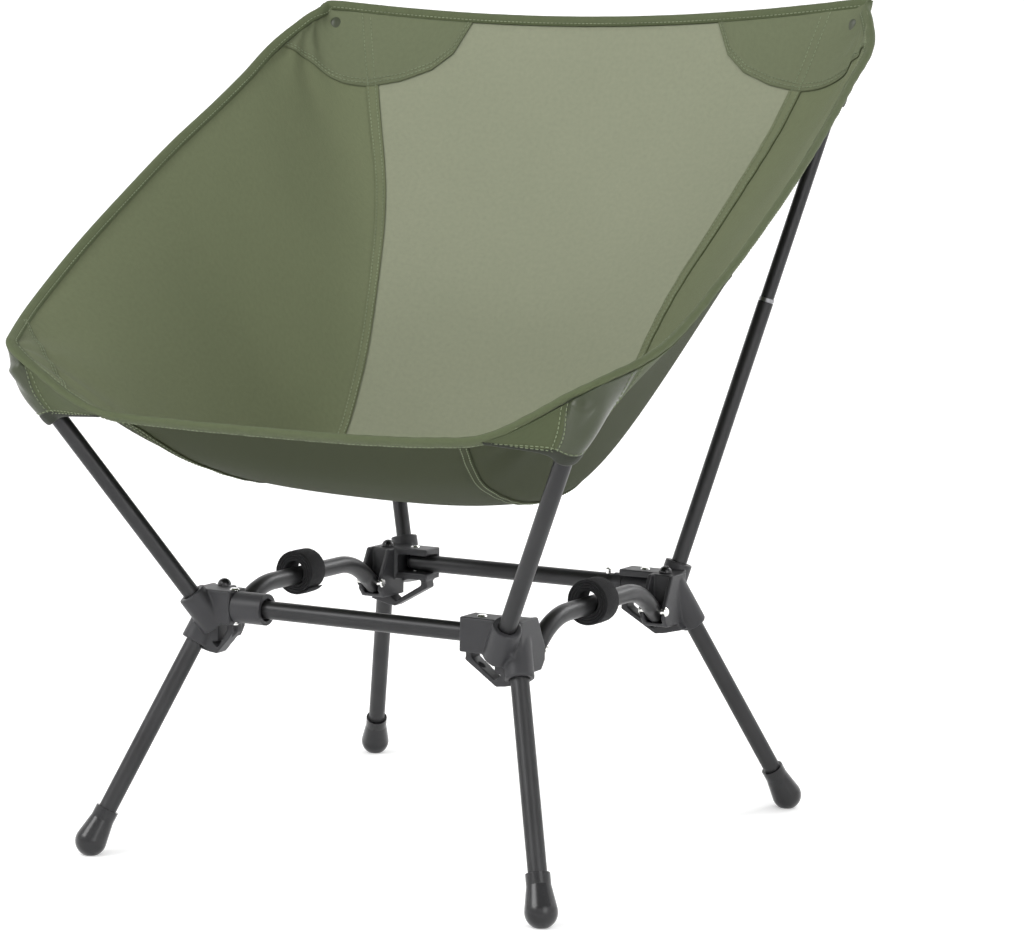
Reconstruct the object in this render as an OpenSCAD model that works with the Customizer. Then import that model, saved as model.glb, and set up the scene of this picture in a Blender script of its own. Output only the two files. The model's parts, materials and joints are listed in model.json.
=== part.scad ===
// Ultralight backpacking chair: four moulded hubs on two curved side bars carry
// plug-in legs and poles, and a sewn seat hangs from the four pole tips.
// Frame: +Z up, -Y is the front of the chair, origin on the floor under the
// centre of its outline. Millimetres.

/* [Stance] */
// Half the distance between the front feet
front_foot_x = 205; // [195:1:215]
// Distance of the front feet ahead of the origin
front_foot_y = 218; // [208:1:228]
// Half the distance between the rear feet
rear_foot_x = 210; // [200:1:220]
// Distance of the rear feet behind the origin
rear_foot_y = 241; // [231:1:247]

/* [Lower frame] */
// Height of the crossbars above the floor
bar_z = 198; // [194:1:202]
// Distance of the front crossbar ahead of the origin
front_bar_y = 146; // [144:1:148]
// Distance of the rear crossbar behind the origin
rear_bar_y = 140; // [138:1:142]
// Half the distance between the two side bars
side_bar_x = 136; // [135:1:137]
// Height of the side bars' straight middle
side_bar_z = 204; // [202:1:206]
// Distance of each upright channel rivet from the chair's middle
rivet_x = 111.5; // [110:0.5:112]

/* [Tubes] */
// Diameter of the legs, crossbars and side bars
tube_d = 14.5; // [14:0.1:14.6]
// Diameter of the front poles
front_pole_d = 13.5; // [13:0.1:13.6]
// Diameter of the lower rear pole sections
rear_pole_d = 13; // [12.5:0.1:13.4]
// Diameter of the upper rear pole sections
rear_top_d = 11.5; // [11:0.1:11.8]
// Wall thickness of every tube
wall = 1; // [0.8:0.1:1.2]

/* [Seat] */
// Thickness of the sewn fabric with its seams
skin = 3; // [2:0.5:4]
// Diameter of the bound edge
binding_d = 5; // [4:0.5:6]
// Outer diameter of a rolled tie strap
strap_d = 39; // [36:1:40]
// Width of a tie strap
strap_w = 22; // [18:1:25]

/* [Hidden] */

$fn = 64;
fine = 0.3;          // gap between faces on parts that move past each other
fit = 0.08;          // radial clearance of a sliding or turning fit
cut = 1;             // how far a cutting shape runs past the face that it cuts
tube_r = tube_d / 2;

// Axis of each leg: from inside its hub to the point where it meets the floor
leg_top_front = [135.5, -137, bar_z];
leg_end_front = [front_foot_x, -front_foot_y, 0];
leg_top_rear = [139, 138.5, bar_z];
leg_end_rear = [rear_foot_x, rear_foot_y, 0];
// Axis of each pole: from inside its hub to its tip
pole_base_front = [136, -157, bar_z];
pole_tip_front = [243.5, -248.1, 387.2];
pole_base_rear = [129, 155.6, bar_z];
pole_tip_rear = [251, 234, 670];
front_pole_len = norm(pole_tip_front - pole_base_front);
rear_pole_len = norm(pole_tip_rear - pole_base_rear);

// Hub sizes
boss_r = 11.5;
boss_low_z = 167;            // height of the mouth of the leg sockets
front_rim_z = 208;           // height of the mouth of the front pole sockets
rear_rim_z = 217;            // height of the mouth of the rear pole sockets
leg_socket_s = 10;           // depth along the leg axis at which the leg socket ends
pole_socket_s = -7;          // the same for the pole sockets, below the crossbar height
channel_h = 27;
channel_wall = channel_h / 2 - tube_r - 0.4;
channel_back = 11.5;         // from the crossbar axis to the closed outer face
channel_front = 13;          // from the crossbar axis to the open inner face
channel_end_x = 122;         // where the channel's hollow ends inside the hub
core_x = 150;                // outer face of the hub
saddle_y = 36;               // reach of the side bar saddle from the crossbar axis
side_rivet_y = 106;          // distance of the side bar rivets from the middle
side_rivet_z = 182.7;
plug_r = 5.6;                // radius of the domed plugs on the hub tops
rivet_r = 2.4;
rivet_head_r = 4;
front_mouth_x = 98;          // inner end of the hub channel that holds a pivot
latch_mouth_x = 109;         // inner end of the front left channel, beside the collar
rear_mouth_x = 93;

// Side bar bend
bend_r = 75;
bend_start = 52;
bend_angle = 35;
bend_tail = 20;
bend_steps = 6;               // straight pieces that stand for one bend
bar_sides = 24;

// Legs and feet
leg_stop_z = 14;             // height of the lower end of the leg tube
foot_r = 12.5;
foot_centre_z = 11;
foot_collar_r = 9.4;
foot_collar_z = 36;

// Rear pole joint
ferrule_s = 250;
ferrule_in = 45;
ferrule_collar = 3;
cord_r = 1.3;

// Latch parts
snap_x = 77;
snap_r = 2.5;
snap_base_z = bar_z + 1;
spring_drop = 5.3;           // seat of the spring below the crossbar axis
spring_wire_r = 0.3;
spring_turns = 4;
snap_top_z = bar_z + tube_r + 4.5;
collar_in_x = 85;
collar_out_x = 108;
tongue_x = 118;
sleeve_in_x = 84;
sleeve_out_x = 92;
strap_y = -8;

function unit(v) = v / norm(v);
// A point at distance s along the line from p towards q
function along_line(p, q, s) = p + unit(q - p) * s;
// The distance s along the line from p towards q at which it reaches height z
function s_at_z(p, q, z) = (z - p.z) / unit(q - p).z;

// Puts +Z of its children on the line from p towards q. Local +X is then the lower side.
module on_axis(p, q) {
    d = q - p;
    translate(p)
        rotate([0, atan2(norm([d.x, d.y]), d.z), atan2(d.y, d.x)])
            children();
}

// The right-hand side of the chair, or its mirror image
module on_side(side) {
    mirror([side < 0 ? 1 : 0, 0, 0])
        children();
}

module tube(length, outer_r, inner_r) {
    difference() {
        cylinder(h = length, r = outer_r);
        translate([0, 0, -cut])
            cylinder(h = length + 2 * cut, r = inner_r);
    }
}

// ---- hubs -------------------------------------------------------------------

// A hub on the right-hand side. end is -1 for the front and +1 for the rear,
// mouth_x is the inner end of its crossbar channel.
module hub(end, mouth_x) {
    bar_y = end < 0 ? -front_bar_y : rear_bar_y;
    leg_top = end < 0 ? leg_top_front : leg_top_rear;
    leg_end = end < 0 ? leg_end_front : leg_end_rear;
    base = end < 0 ? pole_base_front : pole_base_rear;
    tip = end < 0 ? pole_tip_front : pole_tip_rear;
    rim_z = end < 0 ? front_rim_z : rear_rim_z;
    pole_r = (end < 0 ? front_pole_d : rear_pole_d) / 2;
    rim_s = s_at_z(base, tip, rim_z);
    leg_rim_s = s_at_z(leg_top, leg_end, boss_low_z);
    difference() {
        union() {
            channel_block(end, bar_y, mouth_x);
            saddle_block(end, bar_y);
            lug(end, bar_y, mouth_x);
            on_axis(base, tip)
                translate([0, 0, -20])
                    cylinder(h = rim_s + 20, r = boss_r);
            on_axis(leg_top, leg_end)
                translate([0, 0, -6])
                    cylinder(h = leg_rim_s + 6, r = boss_r);
        }
        channel_hollow(end, bar_y);
        saddle_hollow(end, bar_y);
        on_axis(base, tip)
            translate([0, 0, pole_socket_s])
                cylinder(h = 60, r = pole_r + fit);
        on_axis(leg_top, leg_end)
            translate([0, 0, leg_socket_s])
                cylinder(h = 60, r = tube_r + fit);
        translate([rivet_x, bar_y, bar_z - channel_h])
            cylinder(h = 2 * channel_h, r = rivet_r + 0.05);
        translate([side_bar_x - 20, end * side_rivet_y, side_rivet_z])
            rotate([0, 90, 0])
                cylinder(h = 40, r = rivet_r + 0.05);
        on_axis(leg_top, leg_end)
            translate([0, 0, -40])
                cylinder(h = 60, r = cord_r + 0.5);
    }
}

// The moulded box round the crossbar, from its mouth to the outer bosses
module channel_block(end, bar_y, mouth_x) {
    depth = channel_back + channel_front;
    low_y = end < 0 ? bar_y - channel_back : bar_y - channel_front;
    translate([mouth_x, low_y, bar_z - channel_h / 2])
        cube([core_x - 6 - mouth_x, depth, channel_h]);
}

// The space that the crossbar turns in: open at the mouth and towards the chair's middle
module channel_hollow(end, bar_y) {
    half = tube_r + 0.4;
    open = 30;
    low_y = end < 0 ? bar_y - half : bar_y - open;
    translate([0, low_y, bar_z - half])
        cube([channel_end_x, half + open, 2 * half]);
}

// Two cheeks and a floor that take the bent end of the side bar
module saddle_block(end, bar_y) {
    outer = side_bar_x + tube_r + 4.2;
    inner = side_bar_x - tube_r - 4.2;
    reach_y = bar_y - end * saddle_y;
    start_y = bar_y + end * 4;
    low_y = min(reach_y, start_y);
    difference() {
        translate([inner, low_y, 169])
            cube([outer - inner, abs(start_y - reach_y), 42]);
        // sloping nose of the cheeks
        translate([inner - cut, reach_y, 186])
            rotate([end * -28, 0, 0])
                translate([0, end < 0 ? 0 : -30, 0])
                    cube([outer - inner + 2 * cut, 30, 60]);
        translate([inner - cut, reach_y, 176])
            rotate([end * 40, 0, 0])
                translate([0, end < 0 ? 0 : -30, -30])
                    cube([outer - inner + 2 * cut, 30, 30]);
    }
}

// The slot between the cheeks, open towards the side bar and at the top
module saddle_hollow(end, bar_y) {
    half = tube_r + fine;
    near_y = bar_y - end * 19;
    translate([side_bar_x - half, end < 0 ? near_y : near_y - 60, 172.5])
        cube([2 * half, 60, 60]);
}

// A triangular loop under the channel, with an opening through it
module lug(end, bar_y, mouth_x) {
    low_y = end < 0 ? bar_y - 4 : bar_y - 10;
    top_z = bar_z - channel_h / 2 + 1;
    translate([0, low_y + 14, 0])
        rotate([90, 0, 0])
            linear_extrude(height = 14)
                difference() {
                    polygon([[mouth_x + 2, top_z], [140, top_z], [150, 164], [134, 160],
                        [126, 159], [mouth_x + 1, top_z - 8]]);
                    polygon([[mouth_x + 7, top_z - 1], [126, top_z - 1], [130, 168],
                        [125, 164], [mouth_x + 7, top_z - 6]]);
                }
}

module hub_front_right() {
    color("#46474a")
        hub(-1, front_mouth_x);
}
module hub_front_left() {
    color("#46474a")
        on_side(-1)
            hub(-1, latch_mouth_x);
}
module hub_rear_right() {
    color("#3a3b3d")
        hub(1, rear_mouth_x);
}
module hub_rear_left() {
    color("#3a3b3d")
        on_side(-1)
            hub(1, rear_mouth_x);
}

// Round plugs in the hub tops that hold the upper ends of the leg cords
module hub_plugs() {
    color("#1d1d1f")
        for (side = [-1, 1])
            on_side(side)
                for (line = [[leg_top_front, leg_end_front], [leg_top_rear, leg_end_rear]])
                    translate(along_line(line[0], line[1], -s_drop(line)))
                        hub_plug();
}
// Distance along a leg axis from the hub's top face down to the crossbar height
function s_drop(line) = -s_at_z(line[0], line[1], bar_z + channel_h / 2);

module hub_plug() {
    intersection() {
        sphere(r = plug_r);
        translate([-2 * plug_r, -2 * plug_r, fine])
            cube([4 * plug_r, 4 * plug_r, plug_r]);
    }
}

// ---- side bars ---------------------------------------------------------------

// The side bar's bends, with t the distance along the bar from its middle
bend_length = bend_r * bend_angle * PI / 180;
bar_reach = bend_start + bend_length + bend_tail;
function bend_turn(t) =
    sign(t) * min(bend_angle, max(0, abs(t) - bend_start) / bend_r * 180 / PI);
// Centre of the bar at t, as [distance towards the rear, height above its middle]
function bar_centre(t) =
    let (s = abs(t), w = abs(bend_turn(t)), e = max(0, s - bend_start - bend_length))
    [sign(t) * (min(s, bend_start) + bend_r * sin(w) + e * cos(w)),
        -bend_r * (1 - cos(w)) - e * sin(w)];
bar_stations = concat([-bar_reach],
    [for (i = [bend_steps : -1 : 0]) -bend_start - bend_length * i / bend_steps],
    [for (i = [0 : bend_steps]) bend_start + bend_length * i / bend_steps],
    [bar_reach]);
function bar_section(t, r) =
    [for (k = [0 : bar_sides - 1])
        let (a = 360 * k / bar_sides, c = bar_centre(t), w = bend_turn(t))
        [r * cos(a), c[0] + r * sin(a) * sin(w), c[1] + r * sin(a) * cos(w)]];

module swept_bar() {
    rings = len(bar_stations);
    bore = rings * bar_sides;
    last = (rings - 1) * bar_sides;
    points = concat([for (t = bar_stations) each bar_section(t, tube_r)],
        [for (t = bar_stations) each bar_section(t, tube_r - wall)]);
    skins = [for (i = [0 : rings - 2]) for (k = [0 : bar_sides - 1])
        let (k1 = (k + 1) % bar_sides, a = i * bar_sides, b = a + bar_sides)
        each [[a + k, a + k1, b + k1, b + k],
            [bore + b + k, bore + b + k1, bore + a + k1, bore + a + k]]];
    ends = [for (k = [0 : bar_sides - 1])
        let (k1 = (k + 1) % bar_sides)
        each [[k, bore + k, bore + k1, k1],
            [last + k, last + k1, bore + last + k1, bore + last + k]]];
    polyhedron(points = points, faces = concat(skins, ends), convexity = 6);
}

module side_bar() {
    difference() {
        translate([side_bar_x, 0, side_bar_z])
            swept_bar();
        for (end = [-1, 1])
            translate([side_bar_x - 2 * tube_r, end * side_rivet_y, side_rivet_z])
                rotate([0, 90, 0])
                    cylinder(h = 4 * tube_r, r = rivet_r + 0.05);
    }
}
module side_bar_left() {
    color("#414244")
        on_side(-1)
            side_bar();
}
module side_bar_right() {
    color("#414244")
        side_bar();
}

// Cross rivets that hold the bent ends of the side bars in the hubs
module side_bar_rivets() {
    half = tube_r + 4.2;
    color("#d8d8d6")
        for (side = [-1, 1])
            on_side(side)
                for (end = [-1, 1])
                    translate([side_bar_x, end * side_rivet_y, side_rivet_z])
                        rotate([0, 90, 0])
                            rivet(2 * half);
}

// A rivet of the given grip, centred, with a low head at each end
module rivet(grip) {
    cylinder(h = grip + 1, r = rivet_r, center = true);
    for (flip = [0, 180])
        rotate([flip, 0, 0])
            translate([0, 0, grip / 2])
                cylinder(h = 1.2, r1 = rivet_head_r, r2 = rivet_head_r - 1);
}

// Upright rivets through the crossbar channels
module channel_rivets() {
    color("#d8d8d6")
        for (side = [-1, 1])
            for (y = [-front_bar_y, rear_bar_y])
                translate([side * rivet_x, y, bar_z])
                    rivet(channel_h);
}

// ---- crossbars ----------------------------------------------------------------

// A crossbar that turns on its rivet at x = rivet_x and reaches to -end_x
module crossbar(end_x) {
    eye_x = rivet_x - 16;
    difference() {
        union() {
            translate([-end_x, 0, 0])
                rotate([0, 90, 0])
                    tube(eye_x + end_x, tube_r, tube_r - wall);
            translate([eye_x, 0, 0])
                rotate([0, 90, 0])
                    cylinder(h = rivet_x - eye_x, r = tube_r);
            translate([rivet_x, 0, 0])
                sphere(r = tube_r);
        }
        translate([rivet_x, 0, -tube_d])
            cylinder(h = 2 * tube_d, r = rivet_r + fit);
    }
}
module front_crossbar() {
    color("#3c3d3f")
        translate([0, -front_bar_y, bar_z])
            crossbar(collar_in_x - 1);
}
module rear_crossbar() {
    color("#3c3d3f")
        translate([0, rear_bar_y, bar_z])
            rotate([0, 0, 180])
                difference() {
                    crossbar(sleeve_in_x);
                    translate([-snap_x, 0, 0])
                        cylinder(h = 20, r = snap_r + fit);
                }
}

// The free end of a crossbar: a round tongue with a notch that drops over the
// channel rivet as the bar swings home. It points along -X.
module tongue(start_x) {
    difference() {
        translate([-tongue_x, 0, 0])
            rotate([0, 90, 0])
                cylinder(h = tongue_x - start_x, r = tube_r);
        translate([-rivet_x, 0, -tube_d])
            cylinder(h = 2 * tube_d, r = rivet_r + fine);
        translate([-rivet_x - rivet_r - fine, -tube_d, -tube_d])
            cube([2 * (rivet_r + fine), tube_d, 2 * tube_d]);
    }
}

// A round moulded collar with the plug inside the crossbar and the notched tongue
module front_latch_collar() {
    plug_in = 22;
    color("#46474a")
        translate([0, -front_bar_y, bar_z]) {
            translate([-collar_out_x, 0, 0])
                rotate([0, 90, 0])
                    cylinder(h = collar_out_x - collar_in_x, r = 12.5);
            translate([-collar_in_x, 0, 0])
                rotate([0, 90, 0])
                    difference() {
                        cylinder(h = 4, r = 12.5);
                        translate([0, 0, -cut])
                            cylinder(h = 6, r = 9.2);
                    }
            translate([-collar_in_x, 0, 0])
                rotate([0, 90, 0])
                    cylinder(h = plug_in, r = tube_r - wall - 0.05);
            tongue(collar_out_x - cut);
        }
}

// A short sleeve and plug at the rear crossbar's free end, with its notched tongue
module rear_latch_sleeve() {
    plug_in = 24;
    plug_r = tube_r - wall - 0.05;
    color("#3a3b3d")
        translate([0, rear_bar_y, bar_z])
            rotate([0, 0, 180]) {
                translate([-sleeve_out_x, 0, 0])
                    rotate([0, 90, 0])
                        cylinder(h = sleeve_out_x - sleeve_in_x, r = tube_r + 0.9);
                difference() {
                    translate([-sleeve_in_x, 0, 0])
                        rotate([0, 90, 0])
                            cylinder(h = plug_in, r = plug_r);
                    translate([-snap_x, 0, -spring_drop])
                        cylinder(h = 20, r = snap_r + fit);
                }
                tongue(sleeve_out_x - cut);
            }
}

// A sprung pin that keeps the sleeve in the rear crossbar
module snap_button() {
    color("#e2e2e0")
        translate([snap_x, rear_bar_y, 0]) {
            translate([0, 0, snap_base_z])
                cylinder(h = snap_top_z - snap_base_z - 1, r = snap_r);
            translate([0, 0, snap_top_z - 1])
                cylinder(h = 1, r1 = snap_r, r2 = snap_r - 0.8);
        }
}
module snap_spring() {
    base_z = bar_z - spring_drop;
    first_z = base_z + spring_wire_r;
    pitch = (snap_base_z - base_z - 2 * spring_wire_r) / (spring_turns - 1);
    color("#b8b8b8")
        for (i = [0 : spring_turns - 1])
            translate([snap_x, rear_bar_y, first_z + i * pitch])
                rotate_extrude()
                    translate([snap_r - 0.8, 0])
                        circle(r = spring_wire_r);
}

// ---- tie straps ----------------------------------------------------------------

// A hook-and-loop strap rolled up on the side bar, which lies low in the roll
module tie_strap() {
    color("#1c1c1d")
        difference() {
            translate([side_bar_x, strap_y - strap_w / 2, side_bar_z + 3])
                rotate([-90, 0, 0])
                    cylinder(h = strap_w, r = strap_d / 2);
            translate([side_bar_x, strap_y - strap_w, side_bar_z])
                rotate([-90, 0, 0])
                    cylinder(h = 2 * strap_w, r = tube_r + fine);
        }
}
module tie_strap_left() {
    on_side(-1)
        tie_strap();
}
module tie_strap_right() {
    tie_strap();
}

// ---- legs and feet ---------------------------------------------------------------

module leg(top, end) {
    s_end = s_at_z(top, end, leg_stop_z);
    color("#3e3f41")
        on_axis(top, end)
            translate([0, 0, leg_socket_s + fine])
                tube(s_end - leg_socket_s - fine, tube_r, tube_r - wall);
}
// A rubber foot: a collar that widens to a ball with a small flat sole
module foot(top, end) {
    s_end = s_at_z(top, end, leg_stop_z);
    s_ball = s_at_z(top, end, foot_centre_z);
    s_collar = s_at_z(top, end, foot_collar_z);
    color("#19191b")
        difference() {
            on_axis(top, end) {
                translate([0, 0, s_collar])
                    cylinder(h = 9, r = foot_collar_r);
                translate([0, 0, s_collar + 9])
                    cylinder(h = s_ball - s_collar - 12, r1 = foot_collar_r, r2 = foot_r - 0.3);
                translate([0, 0, s_ball])
                    sphere(r = foot_r);
            }
            on_axis(top, end)
                translate([0, 0, s_collar - cut])
                    cylinder(h = s_end - s_collar + cut, r = tube_r + 0.05);
            translate([-400, -400, -50])
                cube([800, 800, 50]);
        }
}
module leg_front_left() {
    on_side(-1)
        leg(leg_top_front, leg_end_front);
}
module leg_front_right() {
    leg(leg_top_front, leg_end_front);
}
module leg_rear_left() {
    on_side(-1)
        leg(leg_top_rear, leg_end_rear);
}
module leg_rear_right() {
    leg(leg_top_rear, leg_end_rear);
}
module foot_front_left() {
    on_side(-1)
        foot(leg_top_front, leg_end_front);
}
module foot_front_right() {
    foot(leg_top_front, leg_end_front);
}
module foot_rear_left() {
    on_side(-1)
        foot(leg_top_rear, leg_end_rear);
}
module foot_rear_right() {
    foot(leg_top_rear, leg_end_rear);
}

// Elastic cords inside the legs and poles, fixed in the hubs
module leg_cords() {
    color("#202020")
        for (side = [-1, 1])
            on_side(side)
                for (line = [[leg_top_front, leg_end_front], [leg_top_rear, leg_end_rear]])
                    on_axis(line[0], line[1])
                        translate([0, 0, -12])
                            cylinder(h = 190, r = cord_r);
}
module pole_cords() {
    color("#202020")
        for (side = [-1, 1])
            on_side(side) {
                on_axis(pole_base_front, pole_tip_front)
                    translate([0, 0, pole_socket_s + 0.1])
                        cylinder(h = front_pole_len - pole_socket_s - 22, r = cord_r);
                on_axis(pole_base_rear, pole_tip_rear)
                    translate([0, 0, pole_socket_s + 0.1])
                        cylinder(h = rear_pole_len - pole_socket_s - 22, r = cord_r);
            }
}

// ---- poles -------------------------------------------------------------------------

module pole_front() {
    color("#404143")
        on_axis(pole_base_front, pole_tip_front)
            translate([0, 0, pole_socket_s + fine])
                tube(front_pole_len - pole_socket_s - fine, front_pole_d / 2,
                    front_pole_d / 2 - wall);
}
module pole_rear_lower() {
    color("#404143")
        on_axis(pole_base_rear, pole_tip_rear)
            translate([0, 0, pole_socket_s + fine])
                tube(ferrule_s - pole_socket_s - fine, rear_pole_d / 2, rear_pole_d / 2 - wall);
}
module pole_rear_upper() {
    start = ferrule_s + ferrule_collar + fine;
    color("#404143")
        on_axis(pole_base_rear, pole_tip_rear)
            translate([0, 0, start])
                tube(rear_pole_len - start, rear_top_d / 2, rear_top_d / 2 - wall);
}
// The joint piece fixed in the upper section, whose lower part plugs into the lower one
module ferrule() {
    color("#8d8e90")
        on_axis(pole_base_rear, pole_tip_rear)
            difference() {
                union() {
                    translate([0, 0, ferrule_s - ferrule_in])
                        cylinder(h = ferrule_in + fine, r = rear_pole_d / 2 - wall - fit);
                    translate([0, 0, ferrule_s + fine])
                        cylinder(h = ferrule_collar, r = rear_pole_d / 2);
                    translate([0, 0, ferrule_s + ferrule_collar])
                        cylinder(h = 24, r = rear_top_d / 2 - wall - 0.05);
                }
                translate([0, 0, ferrule_s - ferrule_in - cut])
                    cylinder(h = 90, r = 3);
            }
}
// A plug with a round head in the end of a pole
module pole_tip(base, tip, length, pole_r) {
    color("#151516")
        on_axis(base, tip) {
            translate([0, 0, length - 15])
                cylinder(h = 15.5, r = pole_r - wall - 0.05);
            translate([0, 0, length + 0.2])
                cylinder(h = 1.6, r1 = pole_r, r2 = pole_r - 1);
        }
}
module pole_front_left() {
    on_side(-1)
        pole_front();
}
module pole_front_right() {
    pole_front();
}
module pole_tip_front_left() {
    on_side(-1)
        pole_tip(pole_base_front, pole_tip_front, front_pole_len, front_pole_d / 2);
}
module pole_tip_front_right() {
    pole_tip(pole_base_front, pole_tip_front, front_pole_len, front_pole_d / 2);
}
module pole_rear_lower_left() {
    on_side(-1)
        pole_rear_lower();
}
module pole_rear_lower_right() {
    pole_rear_lower();
}
module pole_rear_upper_left() {
    on_side(-1)
        pole_rear_upper();
}
module pole_rear_upper_right() {
    pole_rear_upper();
}
module ferrule_left() {
    on_side(-1)
        ferrule();
}
module ferrule_right() {
    ferrule();
}
module pole_tip_rear_left() {
    on_side(-1)
        pole_tip(pole_base_rear, pole_tip_rear, rear_pole_len, rear_top_d / 2);
}
module pole_tip_rear_right() {
    pole_tip(pole_base_rear, pole_tip_rear, rear_pole_len, rear_top_d / 2);
}

// ---- seat ----------------------------------------------------------------------------

// Three guide lines of the sewn seat from the front edge to the top edge:
// down its middle, along the seam between centre and side panel, and along its rim
seat_middle = [[0, -246, 352], [0, -175, 307], [0, -80, 283], [0, 10, 286], [0, 82, 345],
    [0, 135, 435], [0, 188, 515], [0, 227, 595], [0, 251, 674]];
seat_seam = [[150, -252, 357], [128, -180, 317], [118, -85, 293], [118, 5, 304],
    [126, 62, 365], [142, 113, 440], [168, 168, 515], [200, 208, 595], [226, 236, 685]];
seat_rim = [[255, -255, 402], [281, -190, 428], [291, -110, 476], [294, -30, 524],
    [294, 30, 560], [291, 85, 592], [288, 130, 620], [285, 175, 650], [264, 220, 684]];
panel_rows = 24;

// A smooth line through a list of points, t from 0 to 1
function spline(points, t) =
    let (last = len(points) - 1, x = t * last, i = min(floor(x), last - 1), f = x - i,
        b = points[i], c = points[i + 1],
        a = i > 0 ? points[i - 1] : 2 * b - c,
        d = i + 2 <= last ? points[i + 2] : 2 * c - b)
    0.5 * (2 * b + (c - a) * f + (2 * a - 5 * b + 4 * c - d) * f * f
        + (3 * b - a - 3 * c + d) * f * f * f);

// The seat surface. u runs from 0 at the middle through 0.5 at the seam to 1 at the rim.
function seat_point(u, v) =
    let (m = spline(seat_middle, v), s = spline(seat_seam, v), r = spline(seat_rim, v),
        side = u < 0 ? -1 : 1, a = abs(u))
    a <= 0.5
        ? let (k = 2 * a, p = m + (s - m) * k * k)
            [side * s.x * k, p.y, p.z]
        : let (k = 2 * a - 1, lead = 2 * (s - m), slope = 0.8 * [s.x, lead.y, lead.z],
            p = s * pow(1 - k, 2) * (1 + 2 * k) + r * k * k * (3 - 2 * k)
                + slope * k * pow(1 - k, 2) + (r - s) * 0.9 * k * k * (k - 1))
            [side * p.x, p.y, p.z];

function seat_normal(u, v) =
    let (h = 0.004, a = seat_point(min(u + h, 1), v) - seat_point(max(u - h, -1), v),
        b = seat_point(u, min(v + h, 1)) - seat_point(u, max(v - h, 0)))
    unit(cross(a, b));

// A panel of the seat between two values of u, as a closed skin
module panel(u0, u1, columns) {
    nu = columns + 1;
    nv = panel_rows + 1;
    grid = [for (j = [0 : panel_rows]) for (i = [0 : columns])
        [u0 + (u1 - u0) * i / columns, j / panel_rows]];
    top = [for (g = grid) seat_point(g.x, g.y) + seat_normal(g.x, g.y) * skin / 2];
    under = [for (g = grid) seat_point(g.x, g.y) - seat_normal(g.x, g.y) * skin / 2];
    n = nu * nv;
    faces = [
        for (j = [0 : panel_rows - 1]) for (i = [0 : columns - 1])
            let (a = j * nu + i)
            each [[a, a + nu, a + nu + 1], [a, a + nu + 1, a + 1],
                [n + a, n + a + nu + 1, n + a + nu], [n + a, n + a + 1, n + a + nu + 1]],
        for (i = [0 : columns - 1])
            let (a = i, b = panel_rows * nu + i)
            each [[a, a + 1, n + a + 1], [a, n + a + 1, n + a],
                [b, n + b + 1, b + 1], [b, n + b, n + b + 1]],
        for (j = [0 : panel_rows - 1])
            let (a = j * nu, b = j * nu + columns)
            each [[a, n + a, n + a + nu], [a, n + a + nu, a + nu],
                [b, n + b + nu, n + b], [b, b + nu, n + b + nu]]
    ];
    polyhedron(points = concat(top, under), faces = faces, convexity = 6);
}
module seat_centre_panel() {
    color("#898f78")
        panel(-0.5, 0.5, 12);
}
module seat_side_left() {
    color("#646b50")
        panel(-1, -0.505, 8);
}
module seat_side_right() {
    color("#646b50")
        panel(0.505, 1, 8);
}

// The bound edge: a thin round tape along the front, both rims and the top
binding_path = concat(
    [for (i = [0 : 11]) seat_point(-1 + i / 6, 0)],
    [for (i = [0 : 15]) seat_point(1, i / 16)],
    [for (i = [0 : 11]) seat_point(1 - i / 6, 1)],
    [for (i = [0 : 15]) seat_point(-1, 1 - i / 16)]);
module edge_binding() {
    sides = 8;
    count = len(binding_path);
    points = [for (i = [0 : count - 1])
        let (p = binding_path[i], before = binding_path[(i + count - 1) % count],
            after = binding_path[(i + 1) % count], t = unit(after - before),
            n = unit(cross(t, [0.2, 0.1, 1])), b = cross(t, n))
        for (k = [0 : sides - 1])
            p + (n * cos(360 * k / sides) + b * sin(360 * k / sides)) * binding_d / 2];
    faces = [for (i = [0 : count - 1]) for (k = [0 : sides - 1])
        let (a = i * sides + k, b = i * sides + (k + 1) % sides,
            c = ((i + 1) % count) * sides + (k + 1) % sides, d = ((i + 1) % count) * sides + k)
        each [[a, b, c], [a, c, d]]];
    color("#5f694b")
        polyhedron(points = points, faces = faces, convexity = 6);
}

// A pocket over a pole tip: closed above and at the end, open below so that the
// seat lifts straight off the leaning poles
module pocket(base, tip, length, pole_r, reach) {
    inner = pole_r + 1;
    outer = inner + 2.6;
    color("#6c7558")
        on_axis(base, tip)
            difference() {
                translate([0, 0, length - reach])
                    cylinder(h = reach + 6, r = outer);
                translate([0, 0, length - reach - cut])
                    cylinder(h = reach + 3.5 + cut, r = inner);
                translate([0, -inner, length - reach - cut])
                    cube([30, 2 * inner, reach + 3.5 + cut]);
            }
}
module pocket_front_left() {
    on_side(-1)
        pocket(pole_base_front, pole_tip_front, front_pole_len, front_pole_d / 2, 40);
}
module pocket_front_right() {
    pocket(pole_base_front, pole_tip_front, front_pole_len, front_pole_d / 2, 40);
}
module pocket_rear_left() {
    on_side(-1)
        pocket(pole_base_rear, pole_tip_rear, rear_pole_len, rear_top_d / 2, 60);
}
module pocket_rear_right() {
    pocket(pole_base_rear, pole_tip_rear, rear_pole_len, rear_top_d / 2, 60);
}

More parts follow.
